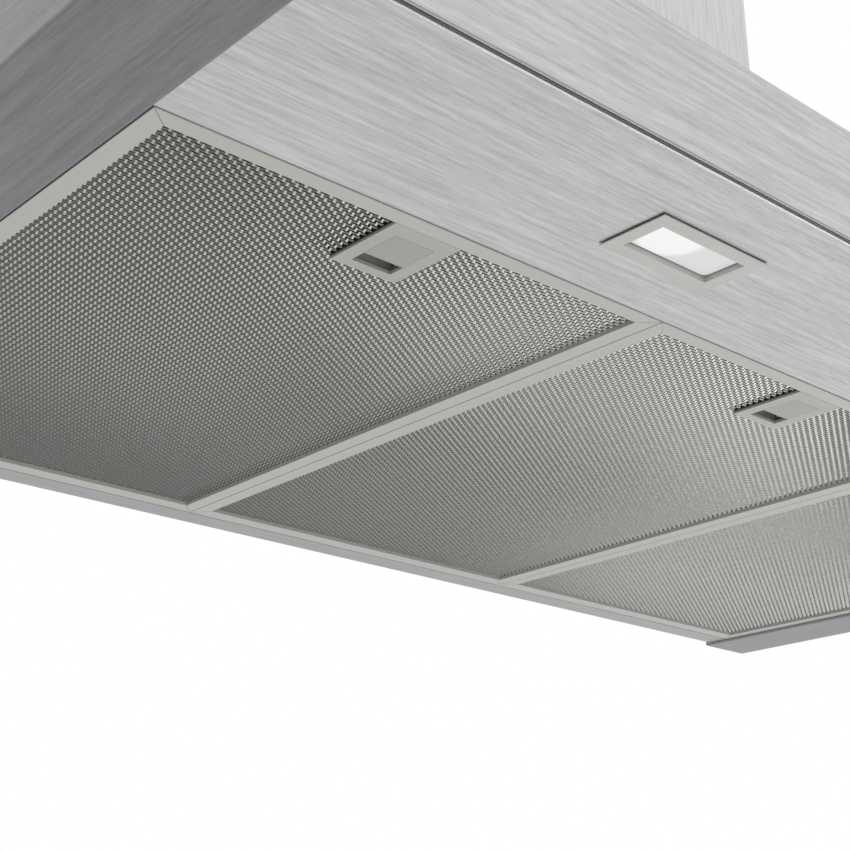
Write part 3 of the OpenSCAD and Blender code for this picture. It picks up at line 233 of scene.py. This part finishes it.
def galvanised_sheet():
    """Galvanised steel: pale and dark flakes a centimetre wide, each with its own grey and gloss."""
    material, tree = new_material("galvanised_steel_sheet", 0.42, metallic=1.0)
    place = add_node(tree, "ShaderNodeTexCoord").outputs["Object"]
    crystals = add_node(tree, "ShaderNodeTexVoronoi", {
        "Vector": place, "Scale": 1 / SPANGLE, "Randomness": 1.0})
    flake = add_node(tree, "ShaderNodeSeparateColor", {"Color": crystals.outputs["Color"]}).outputs["Red"]
    speckle = stretched_noise(tree, [SPECKLE] * 3, detail=4.0)
    both = add_node(tree, "ShaderNodeMath", {0: flake, 1: speckle}, operation="ADD").outputs["Value"]
    lay_finish(tree, both, ("#9ba1a6", "#c3c8cc"), flake, (0.34, 0.52),
               shades_span=SPECKLED_SPAN, grain_span=FLAKE_SPAN)
    return material


paint(galvanised_sheet(), "wall_plate", "suction_box", "motor_bracket", "ceiling_bracket")


# Blower: two scroll halves round a double-inlet impeller, all of glass-filled plastic
# from spark-eroded moulds. A small motor turns the impeller.
CLOUD = 0.02
MOULD_DEPTH = 0.0001


def moulded_plastic(name, dark, light, grain, roughness, relief=0.25):
    """Injection-moulded plastic: an even fine grain, drawn coarser than the real 0.1 mm to show."""
    material, tree = new_material(name, roughness)
    grains = stretched_noise(tree, [grain] * 3, detail=2.0)
    cloud = stretched_noise(tree, [CLOUD] * 3)
    lay_finish(tree, cloud, (dark, light), grains, (roughness - 0.04, roughness + 0.06),
               relief=(relief, MOULD_DEPTH))
    return material


# The scrolls are a dull black, and the impeller a slightly glossier dark grey.
black_plastic = moulded_plastic("black_glass_filled_plastic", "#26272a", "#2f3033",
                                grain=0.0005, roughness=0.5)
fan_plastic = moulded_plastic("dark_grey_fan_plastic", "#35373a", "#3e4043", grain=0.0005, roughness=0.45)
paint(black_plastic, "scroll_left", "scroll_right")
paint(fan_plastic, "impeller")


# Motor: cast aluminium end bells over the laminated stator, and a ground shaft. Its
# bracket holds it in the left scroll half's inlet. The flaps' pin is of the same steel.

# A casting's skin is coarse and dull, and ground steel is smooth and bright.
cast_aluminium = mottled_metal("cast_aluminium", "#84898d", "#9a9fa3", grain=0.0015, roughness=0.48)
ground_steel = mottled_metal("ground_steel", "#b4b7ba", "#cfd2d4", grain=0.0004, roughness=0.2)
paint(cast_aluminium, "motor")
paint(ground_steel, "motor_shaft", "flap_pin")


# Electronics box and cable gland: a light grey moulded box on the suction box's side,
# with a black nylon gland screwed into its top. The lamps' driver has a black case too.

# Its grain is fine, and the box looks a plain satin grey.
light_plastic = moulded_plastic("light_grey_box_plastic", "#d0d1ce", "#d9dad7", grain=0.0006, roughness=0.48)
paint(light_plastic, "electronics_box")
paint(black_plastic, "cable_gland", "lamp_driver")


# Duct collar and backdraft flaps: a black moulded ring on the suction box's outlet,
# and two thin ribbed half discs that swing on one steel pin.
paint(black_plastic, "duct_collar")
paint(fan_plastic, "flap_left", "flap_right")


# Flue: two U-shaped lengths of the same stainless sheet, ground along their height.
# The inner one slides in the outer one.
steel_along_z = brushed_steel("brushed_stainless_along_height", "#bfc0c1", "#d6d7d8", along=2)
paint(steel_along_z, "lower_flue", "upper_flue")


# Push-buttons: turned metal caps in a black moulded insert, which sits in the front
# panel's window. The posts behind it carry a green control board.

# The caps are satin and pale, and the board's glass weave shows under its green lacquer.
button_metal = mottled_metal("satin_button_metal", "#c6c7c9", "#d6d7d9", grain=0.0003, roughness=0.28)
board_green = moulded_plastic("green_circuit_board", "#24563a", "#2c6545", grain=0.0012, roughness=0.4)
paint(black_plastic, "button_insert")
paint(button_metal, "button_1", "button_2", "button_3", "button_4", "button_5")
paint(board_green, "control_board")


# Lamps: a grey moulded bezel clipped in the front strip, a frosted lens that lies
# in it, and a white board with one round light-emitting disc behind the lens.
GLOW_SHIFT = Vector((-0.0112, -0.0042, 0.0))
GLOW_STRENGTH = 0.76

# The disc of light is full out to the first radius, and gone at the second.
GLOW_FULL = 0.0135
GLOW_GONE = 0.0168

# Real frosting is finer, and is drawn at this size to show.
FROST = 0.0004

# The bezel is a warm light grey with hardly any relief, and the board is a dull white.
lamp_plastic = moulded_plastic("grey_lamp_plastic", "#b3b4b0", "#babbb7",
                               grain=0.0003, roughness=0.42, relief=0.1)
white_board = moulded_plastic("white_circuit_board", "#e4e4df", "#ededea", grain=0.0012, roughness=0.45)
paint(lamp_plastic, "lamp_bezel_left", "lamp_bezel_right")
paint(white_board, "lamp_board_left", "lamp_board_right")


def lit_lens(name, centre):
    """Frosted lens, lit from behind: a white disc of light in a paler even glow, and sides painted near
    black as painted shade of the gap round the lens.
    """
    material, tree = new_material(name, 0.35)
    inputs = tree.nodes["Principled BSDF"].inputs
    below = turned_to(tree, "Z", -0.4, -0.8)
    strength = add_node(tree, "ShaderNodeMath", {0: below, 1: GLOW_STRENGTH}, operation="MULTIPLY")
    tree.links.new(strength.outputs["Value"], inputs["Emission Strength"])

    place = add_node(tree, "ShaderNodeTexCoord").outputs["Object"]
    away = add_node(tree, "ShaderNodeVectorMath", {0: place, 1: centre + GLOW_SHIFT}, operation="SUBTRACT")
    level = add_node(tree, "ShaderNodeVectorMath", {0: away.outputs["Vector"], 1: (1, 1, 0)},
                     operation="MULTIPLY")
    distance = add_node(tree, "ShaderNodeVectorMath", {0: level.outputs["Vector"]}, operation="LENGTH")
    outside = add_node(tree, "ShaderNodeMapRange", {
        "Value": distance.outputs["Value"], "From Min": GLOW_FULL, "From Max": GLOW_GONE})
    glow = add_node(tree, "ShaderNodeMix", {
        "Factor": outside.outputs["Result"], MIX_UNDER: linear("#fdfdfd"), MIX_OVER: linear("#dddede")},
        data_type="RGBA")
    tree.links.new(glow.outputs[MIX_RESULT], inputs["Emission Color"])

    frost = stretched_noise(tree, [FROST] * 3)
    frosted = add_node(tree, "ShaderNodeMath", {0: below, 1: frost}, operation="MULTIPLY")
    # Faces that do not face down are painted near black: painted shade of the gap round the lens.
    body = add_node(tree, "ShaderNodeMix", {
        "Factor": frosted.outputs["Value"], MIX_UNDER: linear("#121212"), MIX_OVER: linear("#7c7d7d")},
        data_type="RGBA")
    tree.links.new(body.outputs[MIX_RESULT], inputs["Base Color"])
    return material


for side in ("left", "right"):
    low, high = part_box(f"lamp_lens_{side}")
    paint(lit_lens(f"frosted_lens_lit_{side}", (low + high) / 2), f"lamp_lens_{side}")


# Filter frames: 1 mm aluminium channel, rolled to a satin finish, mitred at the
# corners and bent over the edge of the mesh. The bent walls are duller than the
# rolled face, so that they stay an even grey.
ROLLING_GRAIN = (0.004, 0.0006, 0.0006)


def satin_aluminium(name, dark, light, roughness=0.38):
    """Rolled aluminium: a faint, even grain along the width, drawn coarser than the real one."""
    material, tree = new_material(name, roughness, metallic=1.0)
    grain = stretched_noise(tree, ROLLING_GRAIN, detail=3.0)
    lay_finish(tree, grain, (dark, light), grain, (roughness - 0.04, roughness + 0.06))
    return material


frame_aluminium = satin_aluminium("satin_rolled_aluminium", "#bcbdb7", "#c4c5bf")
tree = frame_aluminium.node_tree
level = turned_to(tree, "Z", 0.3, 0.7, either_way=True)
shine = add_node(tree, "ShaderNodeMapRange", {"Value": level, "To Min": 0.2, "To Max": 1.0})
tree.links.new(shine.outputs["Result"], tree.nodes["Principled BSDF"].inputs["Metallic"])
paint(frame_aluminium, "filter_frame_left", "filter_frame_centre", "filter_frame_right")


# Filter meshes: expanded aluminium, slit and stretched so that each bond between two
# slits leans forwards and four twisted strands leave it. Its diamonds are 6.0 mm long
# and 3.64 mm wide.
DIAMOND_LONG = 0.0060
DIAMOND_SHORT = 0.00364
BOND_LENGTH = 0.00095
STRAND_WIDTH = 0.00084
STRAND_THICKNESS = 0.00022
STRAND_LEAN = math.radians(-36)
COLUMNS = 43
HALF_ROWS = 51
MESH_DROP = 0.0013
HOUSING_WALL = 0.0012

# Points this near the axis lie on it, and points this near each other are merged.
ON_AXIS = 0.000001
SAME_PLACE = 0.00001


def deselect_all():
    """In object mode: deselects every object."""
    bpy.ops.object.select_all(action="DESELECT")


def select_faces(obj, chosen):
    """In edit mode: selects the faces whose centre passes the test."""
    bpy.ops.mesh.select_mode(type="FACE")
    bpy.ops.mesh.select_all(action="DESELECT")
    bpy.ops.object.mode_set(mode="OBJECT")
    for face in obj.data.polygons:
        face.select = chosen(face.center)
    bpy.ops.object.mode_set(mode="EDIT")


def select_points(obj, chosen):
    """In edit mode: selects the vertices whose place passes the test."""
    bpy.ops.mesh.select_mode(type="VERT")
    bpy.ops.mesh.select_all(action="DESELECT")
    bpy.ops.object.mode_set(mode="OBJECT")
    for point in obj.data.vertices:
        point.select = chosen(point.co)
    bpy.ops.object.mode_set(mode="EDIT")


def apply_modifier(obj, kind, **settings):
    """Adds a modifier and applies it."""
    bpy.context.view_layer.objects.active = obj
    modifier = obj.modifiers.new(kind.lower(), kind)
    for name, value in settings.items():
        setattr(modifier, name, value)
    bpy.ops.object.modifier_apply(modifier=modifier.name)


def settle(obj):
    """Puts the object's place, turn and size into its mesh."""
    deselect_all()
    obj.select_set(True)
    bpy.context.view_layer.objects.active = obj
    bpy.ops.object.transform_apply(location=True, rotation=True, scale=True)


def copy_piece(obj, name, move):
    """A copy with its own mesh, moved."""
    deselect_all()
    obj.select_set(True)
    bpy.context.view_layer.objects.active = obj
    bpy.ops.object.duplicate()
    made = bpy.context.object
    made.name = name
    made.location = move
    settle(made)
    return made


def strand_field(name):
    """Thin sheet of strands: one bond at the origin and its two right-hand strands, repeated."""
    deselect_all()
    bpy.ops.mesh.primitive_plane_add(size=1, location=(0, 0, 0))
    obj = bpy.context.object
    obj.name = name
    half = Vector((DIAMOND_LONG / 2, DIAMOND_SHORT / 2, 0))
    across = STRAND_WIDTH * Vector((0, math.cos(STRAND_LEAN), math.sin(STRAND_LEAN)))

    # The bond is a strip two strands wide, cut along its middle and turned to its lean.
    bpy.ops.object.mode_set(mode="EDIT")
    bpy.ops.transform.resize(value=(BOND_LENGTH, 2 * STRAND_WIDTH, 1))
    bpy.ops.mesh.bisect(plane_co=(0, 0, 0), plane_no=(0, 1, 0))
    bpy.ops.mesh.select_all(action="SELECT")
    bpy.ops.transform.rotate(value=-STRAND_LEAN, orient_axis="X", center_override=(0, 0, 0))

    # One strand leaves each half of its right-hand end, for the next bond's other half.
    for way in (1, -1):
        select_points(obj, lambda p: 0 < p.x < BOND_LENGTH and p.y * way > -ON_AXIS)
        step = Vector((half.x - BOND_LENGTH, way * half.y, 0)) - way * across
        bpy.ops.mesh.extrude_region_move(TRANSFORM_OT_translate={"value": step})
    bpy.ops.object.mode_set(mode="OBJECT")

    for count, move in ((2, half), (COLUMNS, (DIAMOND_LONG, 0, 0)), (HALF_ROWS, (0, DIAMOND_SHORT, 0))):
        apply_modifier(obj, "ARRAY", count=count, use_relative_offset=False, use_constant_offset=True,
                       constant_offset_displace=move)
    bpy.ops.object.mode_set(mode="EDIT")
    bpy.ops.mesh.select_all(action="SELECT")
    bpy.ops.mesh.remove_doubles(threshold=SAME_PLACE)
    bpy.ops.object.mode_set(mode="OBJECT")
    return obj


# Each filter's mesh has a front and a rear half, and the field is centred in the frame.
low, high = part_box("filter_mesh_left")
middle = (low + high) / 2
field_long = (COLUMNS - 0.5) * DIAMOND_LONG
field_short = (2 * HALF_ROWS - 0.5) * DIAMOND_SHORT
front = strand_field("expanded_mesh_left_front")
front.location = middle - Vector((field_long / 2, field_short / 2, MESH_DROP))
settle(front)
rear = copy_piece(front, "expanded_mesh_left_rear", (0, HALF_ROWS * DIAMOND_SHORT, 0))

# The front half is cut out round the latch's housing.
gap_low, gap_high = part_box("latch_housing_left")
bpy.context.view_layer.objects.active = front
bpy.ops.object.mode_set(mode="EDIT")
select_faces(front, lambda p: gap_low.x + HOUSING_WALL < p.x < gap_high.x - HOUSING_WALL
             and gap_low.y < p.y < gap_high.y - HOUSING_WALL)
bpy.ops.mesh.delete(type="FACE")
bpy.ops.object.mode_set(mode="OBJECT")

# The mesh is painted darker than its own aluminium, as painted shade for the dim room it mirrors, so that
# the bonds that mirror a lamp stand out as small bright beads.
shaded_mesh_aluminium = satin_aluminium("expanded_aluminium", "#646562", "#71726f", roughness=0.24)
for half_mesh in (front, rear):
    apply_modifier(half_mesh, "SOLIDIFY", thickness=STRAND_THICKNESS, offset=0)
    half_mesh.data.materials.append(shaded_mesh_aluminium)

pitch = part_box("filter_mesh_centre")[0].x - low.x
for count, side in enumerate(("left", "centre", "right")):
    for part, half_mesh in (("front", front), ("rear", rear)):
        if count > 0:
            half_mesh = copy_piece(half_mesh, f"expanded_mesh_{side}_{part}", (count * pitch, 0, 0))
        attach(half_mesh, f"filter_{side}")
        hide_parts(f"filter_mesh_{side}")


# Filter packs: layers of expanded mesh wound flat and laid in the frame behind the
# outer sheet. They are the CAD's own pieces, and their weave is in the material.

# At this scale a Wave node's bands repeat once for each unit, which is one diamond.
WAVE_SCALE = 2 * math.pi / 10
PACK_RELIEF = (0.6, 0.0006)


def wound_pack():
    """Dull aluminium, painted dark as painted shade of its depth, with a lattice of pale strands on its
    upper face only.
    """
    material = satin_aluminium("dull_wound_aluminium", "#242524", "#404140", roughness=0.5)
    tree = material.node_tree
    place = add_node(tree, "ShaderNodeTexCoord").outputs["Object"]
    crossed = []
    for way in (1, -1):
        slant = add_node(tree, "ShaderNodeMapping", {
            "Vector": place, "Scale": (1 / DIAMOND_LONG, way / DIAMOND_SHORT, 0)})
        bands = add_node(tree, "ShaderNodeTexWave", {
            "Vector": slant.outputs["Vector"], "Scale": WAVE_SCALE},
            wave_type="BANDS", bands_direction="DIAGONAL")
        crossed.append(bands.outputs["Fac"])
    lattice = add_node(tree, "ShaderNodeMath", {0: crossed[0], 1: crossed[1]}, operation="MAXIMUM")
    ridge = add_node(tree, "ShaderNodeMapRange", {
        "Value": lattice.outputs["Value"], "From Min": 0.72, "From Max": 0.9})
    # Only the upper face gets the pale strands; the rest keeps the painted shade.
    upper = turned_to(tree, "Z", 0.4, 0.8)
    strand = add_node(tree, "ShaderNodeMath", {0: ridge.outputs["Result"], 1: upper},
                      operation="MULTIPLY").outputs["Value"]
    paint_over(tree, strand, "#a2a39f")
    bump = add_node(tree, "ShaderNodeBump", {
        "Height": strand, "Strength": PACK_RELIEF[0], "Distance": PACK_RELIEF[1]})
    tree.links.new(bump.outputs["Normal"], tree.nodes["Principled BSDF"].inputs["Normal"])
    return material


paint(wound_pack(), "filter_pack_left", "filter_pack_centre", "filter_pack_right")


# Filter latches: a grey moulded housing with a flush sliding knob, and a steel spring inside it. The
# housing's outer walls above its plate are painted near black, as painted shade of the dark between plate
# and pack.
PLATE_EDGE = 0.0008

# The painted shade on a wall starts and is full at these distances from the housing's side.
WALL_SHADE_STARTS = 0.0003
WALL_SHADE_FULL = 0.0001


def latch_grey(name, low, high):
    """Grey moulded plastic, with painted shade on the outer walls of the box from low to high, above its
    plate.
    """
    material = moulded_plastic(name, "#a3a49e", "#a9aaa4", grain=0.0003, roughness=0.45, relief=0.1)
    tree = material.node_tree
    where = add_node(tree, "ShaderNodeTexCoord").outputs["Object"]
    place = add_node(tree, "ShaderNodeSeparateXYZ", {"Vector": where}).outputs
    offset = add_node(tree, "ShaderNodeMath", {0: place["X"], 1: (low.x + high.x) / 2},
                      operation="SUBTRACT")
    away = add_node(tree, "ShaderNodeMath", {0: offset.outputs["Value"]}, operation="ABSOLUTE")
    half = (high.x - low.x) / 2
    wall = add_node(tree, "ShaderNodeMapRange", {
        "Value": away.outputs["Value"], "From Min": half - WALL_SHADE_STARTS, "From Max": half - WALL_SHADE_FULL})
    raised = add_node(tree, "ShaderNodeMapRange", {
        "Value": place["Z"], "From Min": low.z + PLATE_EDGE, "From Max": low.z + 2 * PLATE_EDGE})
    shaded = add_node(tree, "ShaderNodeMath", {0: wall.outputs["Result"], 1: raised.outputs["Result"]},
                      operation="MULTIPLY")
    paint_over(tree, shaded.outputs["Value"], "#1d1d1c")
    return material


# The knob is a shade darker than its housing, and as matt.
knob_plastic = moulded_plastic("grey_knob_plastic", "#9a9b95", "#a0a19b",
                               grain=0.0003, roughness=0.45, relief=0.1)
for side in ("left", "centre", "right"):
    housing = f"latch_housing_{side}"
    paint(latch_grey(f"grey_latch_plastic_{side}", *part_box(housing)), housing)
    paint(knob_plastic, f"latch_knob_{side}")
    paint(ground_steel, f"latch_spring_{side}")


# Camera: below the hood's front left corner, looking up at the underside. Its place,
# turn and lens were fitted to the lines of the photograph.
CAMERA_PLACE = (-0.6312, -0.7940, -0.4587)
CAMERA_AZIMUTH = math.radians(41.95)
CAMERA_ELEVATION = math.radians(20.66)
CAMERA_ROLL = math.radians(-0.19)
LENS_MM = 65.44
SENSOR_MM = 36
NEAREST = 0.01

camera = bpy.data.objects.new("camera", bpy.data.cameras.new("camera"))
bpy.context.scene.collection.objects.link(camera)
camera.data.lens = LENS_MM
camera.data.sensor_width = SENSOR_MM
camera.data.clip_start = NEAREST
turn = Euler((math.pi / 2 + CAMERA_ELEVATION, 0, -CAMERA_AZIMUTH)).to_matrix()
turn = turn @ Matrix.Rotation(CAMERA_ROLL, 3, "Z")
camera.matrix_world = Matrix.Translation(CAMERA_PLACE) @ turn.to_4x4()
bpy.context.scene.camera = camera


# Studio: a pale floor far below the hood, a white surround, and large weak lamps. Those
# below the hood are what the mesh's leaning bonds mirror.
FLOOR_DROP = 3.4
FLOOR_SIZE = 24
FLOOR_WHITE = 0.7
SURROUND_LIGHT = 0.62
WHITE = (1, 1, 1, 1)


def seen_directly(tree):
    """1 for the camera, a mirror or glass, and 0 for the light that falls on the hood."""
    path = add_node(tree, "ShaderNodeLightPath").outputs
    mirrored = add_node(tree, "ShaderNodeMath", {
        0: path["Is Camera Ray"], 1: path["Is Glossy Ray"]}, operation="MAXIMUM")
    seen = add_node(tree, "ShaderNodeMath", {
        0: mirrored.outputs["Value"], 1: path["Is Transmission Ray"]}, operation="MAXIMUM")
    return seen.outputs["Value"]


deselect_all()
bpy.ops.mesh.primitive_plane_add(size=FLOOR_SIZE, location=(0, 0, -FLOOR_DROP))
floor = bpy.context.object
floor.name = "floor"
floor_paint, tree = new_material("pale_floor", 0.9)
matt = tree.nodes["Principled BSDF"]
matt.inputs["Base Color"].default_value = linear("#e4e4e4")
share = add_node(tree, "ShaderNodeMath", {0: seen_directly(tree), 1: FLOOR_WHITE}, operation="MULTIPLY")
white = add_node(tree, "ShaderNodeEmission", {"Color": WHITE, "Strength": 1.0})
both = add_node(tree, "ShaderNodeMixShader", {
    0: share.outputs["Value"], 1: matt.outputs["BSDF"], 2: white.outputs["Emission"]})
tree.links.new(both.outputs["Shader"], tree.nodes["Material Output"].inputs["Surface"])
floor.data.materials.append(floor_paint)

world = bpy.data.worlds.new("studio")
bpy.context.scene.world = world
world.use_nodes = True
tree = world.node_tree
tree.nodes.clear()
lit = add_node(tree, "ShaderNodeBackground", {"Color": WHITE, "Strength": SURROUND_LIGHT})
plain = add_node(tree, "ShaderNodeBackground", {"Color": WHITE, "Strength": 1.0})
both = add_node(tree, "ShaderNodeMixShader", {
    0: seen_directly(tree), 1: lit.outputs["Background"], 2: plain.outputs["Background"]})
add_node(tree, "ShaderNodeOutputWorld", {"Surface": both.outputs["Shader"]})


def soft_lamp(name, place, target, size, power):
    """A rectangular area lamp that shines from place towards target."""
    lamp = bpy.data.objects.new(name, bpy.data.lights.new(name, "AREA"))
    bpy.context.scene.collection.objects.link(lamp)
    lamp.data.shape = "RECTANGLE"
    lamp.data.size, lamp.data.size_y = size
    lamp.data.energy = power
    aim = Vector(target) - Vector(place)
    lamp.matrix_world = Matrix.Translation(place) @ aim.to_track_quat("-Z", "Y").to_matrix().to_4x4()


soft_lamp("below_left", (0.28, -0.53, -1.36), (0.28, -0.53, 0), size=(0.55, 0.5), power=2.5)
soft_lamp("below_middle", (0.98, -0.82, -1.4), (0.98, -0.82, 0), size=(0.95, 0.5), power=6.6)
soft_lamp("below_right", (1.61, -0.78, -1.38), (1.61, -0.78, 0), size=(0.4, 0.48), power=6.2)
soft_lamp("below_rear", (1.15, -0.3, -1.39), (1.15, -0.3, 0), size=(0.9, 0.5), power=2.0)
soft_lamp("below_front", (-0.28, -0.88, -1.38), (-0.28, -0.88, 0), size=(0.55, 0.4), power=1.8)
soft_lamp("far_right", (3.0, 0.55, -0.35), (-0.08, -0.3, -0.17), size=(0.9, 0.6), power=5.0)
soft_lamp("front", (-1.6, -2.2, -1.0), (0, -0.25, -0.1), size=(2.4, 2.4), power=9)
soft_lamp("top", (-0.8, -1.6, 2.4), (0, -0.2, 0.1), size=(2.4, 2.4), power=7)

bpy.context.scene.view_settings.view_transform = "Standard"
